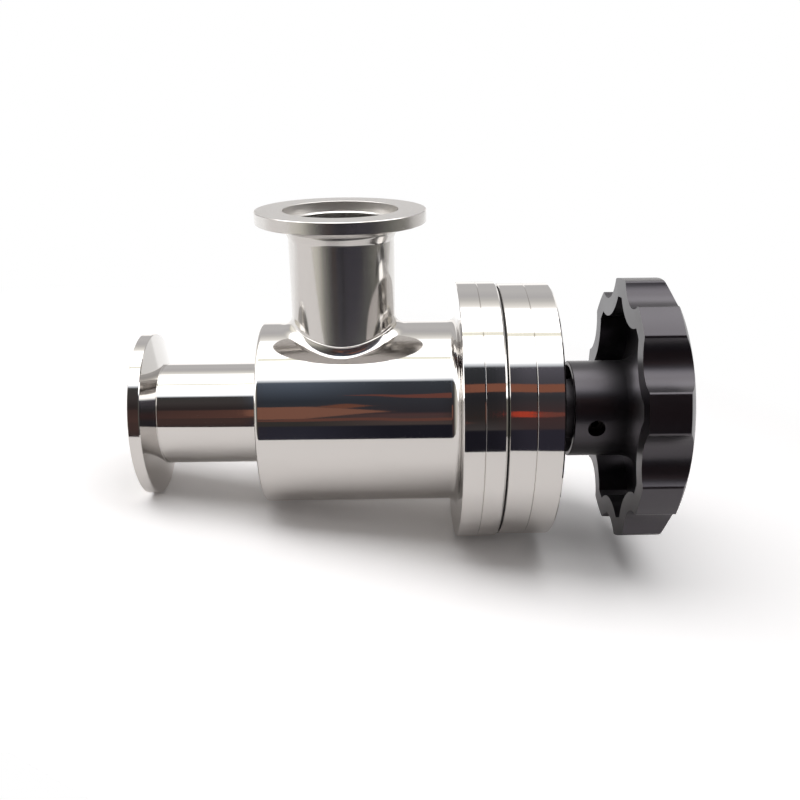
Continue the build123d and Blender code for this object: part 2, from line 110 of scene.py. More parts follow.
# Stainless steel, turned and then buffed to a mirror: clear reflections that waver a little,
# with very fine lines left round the turning axis. Less buffing leaves it hazier, as on the
# collar that the port tube stands on.
def mirrorSteel(name, axis, haze=(0.035, 0.07), collarHaze=0.0, satin=0.0):
    sizes = {"waver": 26 * mm, "waverDepth": 0.03 * mm, "line": 0.35 * mm,
             "lineDepth": 0.0004 * mm, "lineSquash": 0.02, "collar": 12.6 * mm,
             "collarEnd": 13.2 * mm, "collarFoot": 18 * mm}
    material, tree = newMaterial(name)
    place = addNode(tree, "ShaderNodeTexCoord").outputs["Object"]
    squash = sizes["lineSquash"]
    stretch = {"X": (1.0, squash, squash), "Z": (squash, squash, 1.0)}[axis]
    along = addNode(tree, "ShaderNodeMapping", {"Vector": place, "Scale": stretch})
    lines = addNode(tree, "ShaderNodeTexNoise", {
        "Vector": along.outputs[0], "Scale": 1 / sizes["line"], "Detail": 3.0, "Roughness": 0.6})
    waver = addNode(tree, "ShaderNodeTexNoise", {
        "Vector": place, "Scale": 1 / sizes["waver"], "Detail": 1.5, "Roughness": 0.4})
    bumpWaver = addNode(tree, "ShaderNodeBump", {
        "Height": waver.outputs[0], "Distance": sizes["waverDepth"], "Strength": 1.0})
    bumpLines = addNode(tree, "ShaderNodeBump", {
        "Height": lines.outputs[0], "Distance": sizes["lineDepth"], "Strength": 1.0,
        "Normal": bumpWaver.outputs[0]})
    blur = addNode(tree, "ShaderNodeMapRange", {
        "Value": lines.outputs[0], 1: noiseLow, 2: noiseHigh, 3: haze[0], 4: haze[1]})
    roughness = blur.outputs[0]
    scratches = satin
    if collarHaze:
        fromPort = addNode(tree, "ShaderNodeVectorMath", {
            0: place, 1: (portX, 0.0, 0.0)}, operation="SUBTRACT")
        flat = addNode(tree, "ShaderNodeVectorMath", {
            0: fromPort.outputs[0], 1: (1.0, 1.0, 0.0)}, operation="MULTIPLY")
        radius = addNode(tree, "ShaderNodeVectorMath", {0: flat.outputs[0]}, operation="LENGTH")
        near = addNode(tree, "ShaderNodeMapRange", {
            "Value": radius.outputs["Value"], 1: sizes["collar"], 2: sizes["collarEnd"],
            3: 1.0, 4: 0.0})
        up = addNode(tree, "ShaderNodeSeparateXYZ", {0: place})
        above = addNode(tree, "ShaderNodeMath", {
            0: up.outputs["Z"], 1: sizes["collarFoot"]}, operation="GREATER_THAN")
        collar = addNode(tree, "ShaderNodeMath", {
            0: near.outputs[0], 1: above.outputs[0]}, operation="MULTIPLY")
        roughness = addNode(tree, "ShaderNodeMath", {
            0: collar.outputs[0], 1: collarHaze, 2: roughness},
            operation="MULTIPLY_ADD").outputs[0]
        scratches = addNode(tree, "ShaderNodeMath", {
            0: collar.outputs[0], 1: satin}, operation="MULTIPLY").outputs[0]
    steel = addNode(tree, "ShaderNodeBsdfPrincipled", {
        "Base Color": hexColour(steelTone), "Metallic": 1.0, "Roughness": roughness,
        "Normal": bumpLines.outputs[0]})
    if satin:
        scratched = addNode(tree, "ShaderNodeBsdfPrincipled", {
            "Base Color": hexColour(steelTone), "Metallic": 1.0, "Roughness": scratchBlur,
            "Normal": bumpLines.outputs[0]})
        steel = addNode(tree, "ShaderNodeMixShader", {
            0: scratches, 1: steel.outputs[0], 2: scratched.outputs[0]})
    finishMaterial(tree, steel.outputs[0])
    return material


# Stainless steel flange, finish turned: its rim and cone are near a mirror, and its flat face
# and its seat stay grey and satin, with fine rings.
def turnedSteel(name, axis, centre, rimBlur=0.07, scratches=0.0):
    sizes = {"ring": 0.3 * mm, "ringDepth": 0.0012 * mm, "seat": 13.9 * mm,
             "seatDepth": 2.3 * mm, "squareOn": 0.98, "faceBlur": 0.36, "blurLow": 0.85,
             "blurHigh": 1.15}
    material, tree = newMaterial(name)
    place = addNode(tree, "ShaderNodeTexCoord").outputs["Object"]
    fromCentre = addNode(tree, "ShaderNodeVectorMath", {
        0: place, 1: centre}, operation="SUBTRACT")
    spread = {"X": (0.0, 1.0, 1.0), "Z": (1.0, 1.0, 0.0)}[axis]
    level = {"X": (1.0, 0.0, 0.0), "Z": (0.0, 0.0, 1.0)}[axis]
    flat = addNode(tree, "ShaderNodeVectorMath", {
        0: fromCentre.outputs[0], 1: spread}, operation="MULTIPLY")
    radius = addNode(tree, "ShaderNodeVectorMath", {0: flat.outputs[0]}, operation="LENGTH")
    depth = addNode(tree, "ShaderNodeVectorMath", {
        0: fromCentre.outputs[0], 1: level}, operation="DOT_PRODUCT")
    ring = addNode(tree, "ShaderNodeMath", {
        0: radius.outputs["Value"], 1: depth.outputs["Value"]}, operation="ADD")
    lines = addNode(tree, "ShaderNodeTexNoise", {
        "W": ring.outputs[0], "Scale": 1 / sizes["ring"], "Detail": 2.0}, noise_dimensions="1D")
    bump = addNode(tree, "ShaderNodeBump", {
        "Height": lines.outputs[0], "Distance": sizes["ringDepth"], "Strength": 1.0})
    facing = addNode(tree, "ShaderNodeVectorMath", {
        0: addNode(tree, "ShaderNodeNewGeometry").outputs["True Normal"], 1: level},
        operation="DOT_PRODUCT")
    square = addNode(tree, "ShaderNodeMath", {0: facing.outputs["Value"]}, operation="ABSOLUTE")
    flatFace = addNode(tree, "ShaderNodeMath", {
        0: square.outputs[0], 1: sizes["squareOn"]}, operation="GREATER_THAN")
    inside = addNode(tree, "ShaderNodeMath", {
        0: radius.outputs["Value"], 1: sizes["seat"]}, operation="LESS_THAN")
    behind = addNode(tree, "ShaderNodeMath", {0: depth.outputs["Value"]}, operation="ABSOLUTE")
    shallow = addNode(tree, "ShaderNodeMath", {
        0: behind.outputs[0], 1: sizes["seatDepth"]}, operation="LESS_THAN")
    seat = addNode(tree, "ShaderNodeMath", {
        0: inside.outputs[0], 1: shallow.outputs[0]}, operation="MULTIPLY")
    satin = addNode(tree, "ShaderNodeMath", {
        0: flatFace.outputs[0], 1: seat.outputs[0]}, operation="MAXIMUM")
    haze = addNode(tree, "ShaderNodeMapRange", {
        "Value": satin.outputs[0], 3: rimBlur, 4: sizes["faceBlur"]})
    varied = addNode(tree, "ShaderNodeMapRange", {
        "Value": lines.outputs[0], 1: noiseLow, 2: noiseHigh, 3: sizes["blurLow"],
        4: sizes["blurHigh"]})
    blur = addNode(tree, "ShaderNodeMath", {
        0: haze.outputs[0], 1: varied.outputs[0]}, operation="MULTIPLY")
    steel = addNode(tree, "ShaderNodeBsdfPrincipled", {
        "Base Color": hexColour(steelTone), "Metallic": 1.0, "Roughness": blur.outputs[0],
        "Normal": bump.outputs[0]})
    if scratches:
        scratched = addNode(tree, "ShaderNodeBsdfPrincipled", {
            "Base Color": hexColour(steelTone), "Metallic": 1.0, "Roughness": scratchBlur,
            "Normal": bump.outputs[0]})
        steel = addNode(tree, "ShaderNodeMixShader", {
            0: scratches, 1: steel.outputs[0], 2: scratched.outputs[0]})
    finishMaterial(tree, steel.outputs[0])
    return material


# Phenolic plastic, moulded and lightly buffed: deep black with a soft satin gloss, and dull
# where no wheel could buff it, in the hub's end.
def mouldedPhenolic(name):
    sizes = {"grain": 0.5 * mm, "grainDepth": 0.0015 * mm, "flow": 14 * mm, "blurLow": 0.29,
             "blurHigh": 0.35, "dull": 0.5, "recessRadius": 11.1 * mm, "recessEnd": 108.4 * mm}
    material, tree = newMaterial(name)
    place = addNode(tree, "ShaderNodeTexCoord").outputs["Object"]
    grain = addNode(tree, "ShaderNodeTexNoise", {
        "Vector": place, "Scale": 1 / sizes["grain"], "Detail": 3.0, "Roughness": 0.55})
    flow = addNode(tree, "ShaderNodeTexNoise", {
        "Vector": place, "Scale": 1 / sizes["flow"], "Detail": 2.0})
    bump = addNode(tree, "ShaderNodeBump", {
        "Height": grain.outputs[0], "Distance": sizes["grainDepth"], "Strength": 1.0})
    gloss = addNode(tree, "ShaderNodeMapRange", {
        "Value": flow.outputs[0], 1: noiseLow, 2: noiseHigh, 3: sizes["blurLow"],
        4: sizes["blurHigh"]})
    along = addNode(tree, "ShaderNodeSeparateXYZ", {0: place})
    flat = addNode(tree, "ShaderNodeVectorMath", {
        0: place, 1: (0.0, 1.0, 1.0)}, operation="MULTIPLY")
    radius = addNode(tree, "ShaderNodeVectorMath", {0: flat.outputs[0]}, operation="LENGTH")
    narrow = addNode(tree, "ShaderNodeMath", {
        0: radius.outputs["Value"], 1: sizes["recessRadius"]}, operation="LESS_THAN")
    end = addNode(tree, "ShaderNodeMath", {
        0: along.outputs["X"], 1: sizes["recessEnd"]}, operation="LESS_THAN")
    recess = addNode(tree, "ShaderNodeMath", {
        0: narrow.outputs[0], 1: end.outputs[0]}, operation="MULTIPLY")
    finish = addNode(tree, "ShaderNodeMix", {
        0: recess.outputs[0], 2: gloss.outputs[0], 3: sizes["dull"]})
    shell = addNode(tree, "ShaderNodeBsdfPrincipled", {
        "Base Color": hexColour("#070608"), "Roughness": finish.outputs[0], "IOR": 1.72,
        "Specular Tint": hexColour("#fbf3fd"), "Normal": bump.outputs[0]})
    finishMaterial(tree, shell.outputs[0])
    return material


# Fluoro rubber, moulded: matte black with a faint bloom.
def mouldedRubber(name):
    sizes = {"bloom": 2 * mm}
    material, tree = newMaterial(name)
    place = addNode(tree, "ShaderNodeTexCoord").outputs["Object"]
    bloom = addNode(tree, "ShaderNodeTexNoise", {
        "Vector": place, "Scale": 1 / sizes["bloom"], "Detail": 4.0})
    tint = addNode(tree, "ShaderNodeValToRGB", {"Fac": bloom.outputs[0]})
    setRamp(tint, [(noiseLow, "#161616"), (noiseHigh, "#262524")])
    rubber = addNode(tree, "ShaderNodeBsdfPrincipled", {
        "Base Color": tint.outputs[0], "Roughness": 0.7, "IOR": 1.5})
    finishMaterial(tree, rubber.outputs[0])
    return material


# Bearing bronze, machined: warm and satin, with fine lines and faint darker patches.
def machinedBronze(name):
    sizes = {"line": 0.3 * mm, "lineDepth": 0.003 * mm, "lineSquash": 0.05, "patch": 5 * mm}
    material, tree = newMaterial(name)
    place = addNode(tree, "ShaderNodeTexCoord").outputs["Object"]
    squash = sizes["lineSquash"]
    along = addNode(tree, "ShaderNodeMapping", {"Vector": place, "Scale": (1.0, squash, squash)})
    lines = addNode(tree, "ShaderNodeTexNoise", {
        "Vector": along.outputs[0], "Scale": 1 / sizes["line"], "Detail": 2.0})
    patches = addNode(tree, "ShaderNodeTexNoise", {
        "Vector": place, "Scale": 1 / sizes["patch"], "Detail": 3.0})
    tint = addNode(tree, "ShaderNodeValToRGB", {"Fac": patches.outputs[0]})
    setRamp(tint, [(noiseLow, "#b58a52"), (noiseHigh, "#c79f68")])
    bump = addNode(tree, "ShaderNodeBump", {
        "Height": lines.outputs[0], "Distance": sizes["lineDepth"], "Strength": 1.0})
    bronze = addNode(tree, "ShaderNodeBsdfPrincipled", {
        "Base Color": tint.outputs[0], "Metallic": 1.0, "Roughness": 0.32,
        "Normal": bump.outputs[0]})
    finishMaterial(tree, bronze.outputs[0])
    return material


# Fastener and strip steel, cold formed: an even grey sheen with faint cloudy patches.
def formedSteel(name, tone, blur):
    sizes = {"cloud": 2.5 * mm, "cloudDepth": 0.004 * mm, "least": 0.8, "most": 1.2}
    material, tree = newMaterial(name)
    place = addNode(tree, "ShaderNodeTexCoord").outputs["Object"]
    clouds = addNode(tree, "ShaderNodeTexNoise", {
        "Vector": place, "Scale": 1 / sizes["cloud"], "Detail": 3.0})
    varied = addNode(tree, "ShaderNodeMapRange", {
        "Value": clouds.outputs[0], 1: noiseLow, 2: noiseHigh, 3: blur * sizes["least"],
        4: blur * sizes["most"]})
    bump = addNode(tree, "ShaderNodeBump", {
        "Height": clouds.outputs[0], "Distance": sizes["cloudDepth"], "Strength": 1.0})
    steel = addNode(tree, "ShaderNodeBsdfPrincipled", {
        "Base Color": hexColour(tone), "Metallic": 1.0, "Roughness": varied.outputs[0],
        "Normal": bump.outputs[0]})
    finishMaterial(tree, steel.outputs[0])
    return material


mainMirror = mirrorSteel("mirrorPolishedSteel", "X")
shellMirror = mirrorSteel("mirrorPolishedShell", "X", collarHaze=0.05, satin=0.15)
portMirror = mirrorSteel("buffedSteelPort", "Z", haze=(0.09, 0.14), satin=0.15)
screwSteel = formedSteel("headedScrewSteel", "#b0ada8", 0.3)
blackenedSteel = formedSteel("blackenedScrewSteel", "#23211f", 0.42)
bellowsSteel = formedSteel("formedBellowsSteel", "#bdb9b3", 0.2)
inletTurned = turnedSteel("turnedSteelInlet", "X", (0.0, 0.0, 0.0))
portTurned = turnedSteel("turnedSteelPort", "Z", (portX, 0.0, portHigh.z), rimBlur=0.18,
                         scratches=0.17)
blackPlastic = mouldedPhenolic("mouldedPhenolic")
blackRubber = mouldedRubber("mouldedRubber")
bronze = machinedBronze("machinedBronze")

# Every other node is turned steel
finishes = {
    "port_flange": portTurned,
    "inlet_tube": mainMirror,
    "port_tube": portMirror,
    "body_shell": shellMirror,
    "body_flange": mainMirror,
    "bellows_flange": mainMirror,
    "bonnet_plate": mainMirror,
    "bonnet_cover": mainMirror,
    "flange_gasket": blackRubber,
    "body_seal": blackRubber,
    "valve_seal": blackRubber,
    "stem_wiper": blackRubber,
    "stem_nut": bronze,
    "guide_bush": bronze,
    "handwheel": blackPlastic,
    "hub_set_screw": blackenedSteel,
    "disc_screw": screwSteel,
    "nut_dowel": screwSteel,
    "guide_pin": screwSteel,
    "thrust_pad": screwSteel,
    "thrust_collar": screwSteel,
}
for name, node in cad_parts.items():
    node.data.materials.clear()
    node.data.materials.append(finishes.get(name, inletTurned))
print("materials on")


# Turns a line of (place, radius) pairs in millimetres about a line parallel to the main axis
def turnLine(shape, profile, steps, centre=(0.0, 0.0), closed=False):
    low, high = centre
    corners = [shape.verts.new((x * mm, low * mm, (high + r) * mm)) for x, r in profile]
    ends = corners[1:] + corners[:1] if closed else corners[1:]
    lines = [shape.edges.new(pair) for pair in zip(corners, ends)]
    bmesh.ops.spin(shape, geom=corners + lines, cent=(0.0, low * mm, high * mm),
                   axis=(1.0, 0.0, 0.0), dvec=(0.0, 0.0, 0.0), angle=2 * pi, steps=steps,
                   use_merge=True)


# Makes a piece of a finished shape: merged, facing outwards, smooth but for its sharp edges
def finishPiece(shape, name, body, material):
    bmesh.ops.remove_doubles(shape, verts=shape.verts, dist=mergeWithin)
    bmesh.ops.recalc_face_normals(shape, faces=shape.faces)
    mesh = bpy.data.meshes.new(name)
    shape.to_mesh(mesh)
    shape.free()
    mesh.shade_smooth()
    mesh.set_sharp_from_angle(angle=sharpFrom)
    mesh.materials.append(material)
    piece = bpy.data.objects.new(name, mesh)
    scene.collection.objects.link(piece)
    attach(piece, body)
    return piece


# Bellows: a thin wall in rounded folds, built at one length; nothing here squeezes it as the disc
# lifts
def buildBellows():
    sizes = {"start": 44.45, "end": 80.0, "root": 12.2, "crest": 16.5, "wall": 0.3, "folds": 20,
             "pointsPerFold": 8, "fullness": 0.25, "steps": 72, "lift": 10.0}
    length = sizes["end"] - sizes["start"]
    count = sizes["folds"] * sizes["pointsPerFold"]
    middle = (sizes["root"] + sizes["wall"] + sizes["crest"]) / 2
    reach = sizes["crest"] - middle
    fullness = sizes["fullness"]  # makes the folds fuller than a plain wave
    outside = []
    for index in range(count + 1):
        turned = cos(2 * pi * index / sizes["pointsPerFold"])
        wave = turned * (1 + fullness - fullness * turned * turned)
        outside.append((sizes["start"] + length * index / count, middle - reach * wave))
    inside = [(x, r - sizes["wall"]) for x, r in reversed(outside)]
    shape = bmesh.new()
    turnLine(shape, outside + inside, sizes["steps"], closed=True)
    piece = finishPiece(shape, "foldedBellows", "valve_body", bellowsSteel)
    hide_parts("bellows")
    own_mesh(piece)


# Stem: the collar's seat and the shank, the thread, and the seat of the handwheel. The thread
# is made a few turns too long and cut at both ends.
def buildStem():
    sizes = {"tip": 71.45, "tipRadius": 3.5, "shank": 75.5, "shankRadius": 4.5, "pitch": 2.0,
             "root": 4.75, "rootEnd": 0.6, "crest": 6.0, "crestStart": 0.93, "crestEnd": 1.67,
             "start": 81.0, "end": 100.65, "spareTurns": 3, "nearCut": 0.001, "gap": 0.02,
             "wheelRadius": 5.0, "stemEnd": 130.5, "edge": 0.4, "steps": 48}
    shape = bmesh.new()
    turns = int((sizes["end"] - sizes["start"]) / sizes["pitch"]) + sizes["spareTurns"]
    tooth = [(0.0, sizes["root"]), (sizes["rootEnd"], sizes["root"]),
             (sizes["crestStart"], sizes["crest"]), (sizes["crestEnd"], sizes["crest"]),
             (sizes["pitch"], sizes["root"])]
    first = sizes["start"] - sizes["spareTurns"] / 2 * sizes["pitch"]
    corners = [shape.verts.new(((first + x) * mm, 0.0, r * mm)) for x, r in tooth]
    lines = [shape.edges.new(pair) for pair in zip(corners, corners[1:])]
    bmesh.ops.spin(shape, geom=corners + lines, cent=(0.0, 0.0, 0.0), axis=(1.0, 0.0, 0.0),
                   dvec=(sizes["pitch"] / sizes["steps"] * mm, 0.0, 0.0), angle=2 * pi * turns,
                   steps=sizes["steps"] * turns, use_merge=False)
    bmesh.ops.remove_doubles(shape, verts=shape.verts, dist=mergeWithin)
    for place, sign in ((sizes["start"], -1.0), (sizes["end"], 1.0)):
        bmesh.ops.bisect_plane(shape, geom=shape.verts[:] + shape.edges[:] + shape.faces[:],
                               plane_co=(place * mm, 0.0, 0.0), plane_no=(sign, 0.0, 0.0),
                               clear_outer=True)
        cut = [e for e in shape.edges if e.is_boundary
               and all(abs(v.co.x - place * mm) < sizes["nearCut"] * mm for v in e.verts)]
        bmesh.ops.edgeloop_fill(shape, edges=cut)
    shankEnd = sizes["start"] - sizes["gap"]
    turnLine(shape, [
        (sizes["tip"], 0.0), (sizes["tip"], sizes["tipRadius"]),
        (sizes["shank"], sizes["tipRadius"]), (sizes["shank"], sizes["shankRadius"]),
        (shankEnd, sizes["shankRadius"]), (shankEnd, 0.0)], sizes["steps"])
    seatStart = sizes["end"] + sizes["gap"]
    turnLine(shape, [
        (seatStart, 0.0), (seatStart, sizes["wheelRadius"]),
        (sizes["stemEnd"] - sizes["edge"], sizes["wheelRadius"]),
        (sizes["stemEnd"], sizes["wheelRadius"] - sizes["edge"]), (sizes["stemEnd"], 0.0)],
        sizes["steps"])
    piece = finishPiece(shape, "threadedStem", "wheel_and_stem", inletTurned)
    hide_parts("stem")


# Cover screws: chamfered heads with hexagon sockets, sunk in the cover
def buildScrews():
    sizes = {"circle": 27.8, "count": 6, "first": 30.0, "tip": 78.5, "shank": 1.5, "under": 96.55,
             "top": 99.55, "head": 2.75, "edge": 0.25, "rim": 1.85, "socket": 2.5, "flats": 6,
             "depth": 1.5, "segments": 24}
    shape = bmesh.new()
    for number in range(sizes["count"]):
        angle = radians(sizes["first"] + 360 / sizes["count"] * number)
        centre = (sizes["circle"] * cos(angle), sizes["circle"] * sin(angle))
        turnLine(shape, [
            (sizes["tip"], 0.0), (sizes["tip"], sizes["shank"] - sizes["edge"]),
            (sizes["tip"] + sizes["edge"], sizes["shank"]), (sizes["under"], sizes["shank"]),
            (sizes["under"], sizes["head"]), (sizes["top"] - sizes["edge"], sizes["head"]),
            (sizes["top"], sizes["head"] - sizes["edge"]), (sizes["top"], sizes["rim"])],
            sizes["segments"], centre)
        rim = [e for e in shape.edges if e.is_boundary]
        place = Matrix.Translation((sizes["top"] * mm, centre[0] * mm, centre[1] * mm))
        hexagon = bmesh.ops.create_circle(
            shape, cap_ends=False, segments=sizes["flats"],
            radius=sizes["socket"] / 2 / cos(pi / sizes["flats"]) * mm,
            matrix=place @ Matrix.Rotation(pi / 2, 4, "Y"))
        sides = list({e for v in hexagon["verts"] for e in v.link_edges})
        split = bmesh.ops.subdivide_edges(
            shape, edges=sides, cuts=sizes["segments"] // sizes["flats"] - 1)
        mouth = list({e for e in split["geom_inner"] + split["geom_split"] + sides
                      if isinstance(e, bmesh.types.BMEdge) and e.is_valid})
        bmesh.ops.bridge_loops(shape, edges=rim + mouth)
        wall = bmesh.ops.extrude_edge_only(shape, edges=mouth)
        low = [v for v in wall["geom"] if isinstance(v, bmesh.types.BMVert)]
        bmesh.ops.translate(shape, verts=low, vec=(-sizes["depth"] * mm, 0.0, 0.0))
        floor = [e for e in wall["geom"] if isinstance(e, bmesh.types.BMEdge) and e.is_boundary]
        bmesh.ops.edgeloop_fill(shape, edges=floor)
    piece = finishPiece(shape, "socketScrews", "valve_body", screwSteel)
    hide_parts("cover_screws")


# Small flange: broken edges, tapered back, centring seat with an eased bore, and the weld
# neck that runs into the tube. It is turned about the main axis, then set on its nozzle.
def buildFlange(name, node, finishPair, neck, neckEnd, tubeStart, place):
    sizes = {"outside": 20.0, "edge": 0.15, "rim": 2.8, "slant": tan(radians(15)), "tube": 12.5,
             "end": 6.74, "bore": 11.0, "eased": 0.35, "seat": 13.5, "seatDepth": 2.1,
             "mouth": 0.1, "steps": 144, "endFacing": 0.5}
    edge = sizes["edge"]
    cone = sizes["rim"] + (sizes["outside"] - neck) * sizes["slant"]
    coneTop = sizes["rim"] + edge * sizes["slant"]
    shape = bmesh.new()
    turnLine(shape, [
        (0.0, sizes["seat"] + sizes["mouth"]), (0.0, sizes["outside"] - edge),
        (edge, sizes["outside"]), (sizes["rim"] - edge, sizes["outside"]),
        (coneTop, sizes["outside"] - edge), (cone, neck), (neckEnd, neck),
        (tubeStart, sizes["tube"]), (sizes["end"], sizes["tube"]), (sizes["end"], sizes["bore"]),
        (sizes["seatDepth"] + sizes["eased"], sizes["bore"]),
        (sizes["seatDepth"], sizes["bore"] + sizes["eased"]),
        (sizes["seatDepth"], sizes["seat"]), (sizes["mouth"], sizes["seat"])],
        sizes["steps"], closed=True)
    for face in shape.faces:  # past its start, the tube has the finish of the tube's own node
        if face.calc_center_median().x > tubeStart * mm and face.normal.x < sizes["endFacing"]:
            face.material_index = 1
    bmesh.ops.transform(shape, matrix=place, verts=shape.verts)
    piece = finishPiece(shape, name, "valve_body", finishPair[0])
    piece.data.materials.append(finishPair[1])
    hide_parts(node)


# Fine weld line round the foot of the collar, where the port meets the body's fillet. It dips
# at the front and back as the body's round does, and flares a little at its two sides.
def buildPortWeld():
    sizes = {"tube": 12.5, "bead": 0.24, "sides": 12, "steps": 120, "top": 23.7, "dip": 12.3,
             "flare": 0.3}
    start = Matrix.Translation((portX + sizes["tube"] * mm, 0.0, 0.0))
    shape = bmesh.new()
    bmesh.ops.create_circle(
        shape, cap_ends=False, segments=sizes["sides"], radius=sizes["bead"] * mm,
        matrix=start @ Matrix.Rotation(pi / 2, 4, "X"))
    bmesh.ops.spin(shape, geom=shape.verts[:] + shape.edges[:], cent=(portX, 0.0, 0.0),
                   axis=(0.0, 0.0, 1.0), dvec=(0.0, 0.0, 0.0), angle=2 * pi,
                   steps=sizes["steps"], use_merge=True)
    for corner in shape.verts:
        outwards = Vector((corner.co.x - portX, corner.co.y)).normalized()
        corner.co.z += (sizes["top"] ** 2 - (sizes["dip"] * outwards.y) ** 2) ** 0.5 * mm
        corner.co.x += outwards.x ** 3 * sizes["flare"] * mm
    finishPiece(shape, "portWeld", "valve_body", portMirror)


buildBellows()
buildStem()
buildScrews()
buildPortWeld()
buildFlange("turnedInletFlange", "inlet_flange", (inletTurned, mainMirror), neck=12.6,
            neckEnd=4.9, tubeStart=5.0, place=Matrix())
buildFlange("turnedPortFlange", "port_flange", (portTurned, portMirror), neck=12.95,
            neckEnd=5.2, tubeStart=6.2,
            place=Matrix.Translation((portX, 0.0, portHigh.z)) @ Matrix.Rotation(pi / 2, 4, "Y"))
print("bellows, stem, screws, weld and flanges made")

# The valve lies on the rims of its inlet flange and its body flange, so the table slopes. The
# polished steel mirrors its front edge, which slants from the inlet to past the stack.
table = {"frontLeft": -102 * mm, "frontRight": -160 * mm, "slantTo": 1.3, "back": 900 * mm,
         "side": 900 * mm, "inletRim": 2.8 * mm, "stackRim": 2.4 * mm}
slope = (stackLow.z - inletLow.z) / (stackLow.x + table["stackRim"] - table["inletRim"])
corners = [(-table["side"], table["frontLeft"]), (inletLow.x, table["frontLeft"]),
           (stackHigh.x * table["slantTo"], table["frontRight"]),
           (table["side"], table["frontRight"]),
           (table["side"], table["back"]), (-table["side"], table["back"])]
tableMesh = bpy.data.meshes.new("table")
sheet = bmesh.new()
sheet.faces.new([
    sheet.verts.new((x, y, inletLow.z + slope * (x - table["inletRim"]))) for x, y in corners])
sheet.to_mesh(tableMesh)
sheet.free()
tableTop = bpy.data.objects.new("table", tableMesh)
scene.collection.objects.link(tableTop)


# White paper, matt. The camera sees it a little brighter, and plain white away from the shadow.
# Polished steel sees it a little brighter too, and the paper behind the valve glows: a painted
# reflection, brighter than any light on it.
def whitePaper():
    sizes = {"shadowMiddle": 15 * mm, "shadowEnd": 170 * mm, "whiteFrom": 230 * mm,
             "backFrom": 40 * mm, "backWhite": 110 * mm}
    shades = {"paper": hexColour("#f2efee"), "bright": (1.2, 1.18, 1.18, 1.0),
              "gleaming": (1.03, 1.0, 0.99, 1.0), "white": hexColour("#ffffff"), "dazzle": 1.25}
    material, tree = newMaterial("whitePaper")
    paper = addNode(tree, "ShaderNodeBsdfDiffuse", {"Color": shades["paper"]})
    bright = addNode(tree, "ShaderNodeBsdfDiffuse", {"Color": shades["bright"]})
    gleaming = addNode(tree, "ShaderNodeBsdfDiffuse", {"Color": shades["gleaming"]})
    white = addNode(tree, "ShaderNodeEmission", {"Color": shades["white"], "Strength": 1.0})
    # painted glow: the paper behind the valve shines for polished steel, stronger than the light
    # that falls on it
    paintedGlowBehind = addNode(tree, "ShaderNodeEmission", {
        "Color": shades["white"], "Strength": shades["dazzle"]})
    place = addNode(tree, "ShaderNodeTexCoord").outputs["Object"]
    away = addNode(tree, "ShaderNodeVectorMath", {
        0: place, 1: (portX + sizes["shadowMiddle"], 0.0, stackLow.z)}, operation="DISTANCE")
    far = addNode(tree, "ShaderNodeMapRange", {
        "Value": away.outputs["Value"], 1: sizes["shadowEnd"], 2: sizes["whiteFrom"],
        3: 0.0, 4: 1.0})
    shown = addNode(tree, "ShaderNodeMixShader", {
        0: far.outputs[0], 1: bright.outputs[0], 2: white.outputs[0]})
    depth = addNode(tree, "ShaderNodeSeparateXYZ", {0: place})
    behind = addNode(tree, "ShaderNodeMapRange", {
        "Value": depth.outputs["Y"], 1: sizes["backFrom"], 2: sizes["backWhite"],
        3: 0.0, 4: 1.0})
    mirrored = addNode(tree, "ShaderNodeMixShader", {
        0: behind.outputs[0], 1: gleaming.outputs[0], 2: paintedGlowBehind.outputs[0]})
    path = addNode(tree, "ShaderNodeLightPath")
    glossy = addNode(tree, "ShaderNodeMixShader", {
        0: path.outputs["Is Glossy Ray"], 1: paper.outputs[0], 2: mirrored.outputs[0]})
    seen = addNode(tree, "ShaderNodeMixShader", {
        0: path.outputs["Is Camera Ray"], 1: glossy.outputs[0], 2: shown.outputs[0]})
    finishMaterial(tree, seen.outputs[0])
    return material


tableTop.data.materials.append(whitePaper())


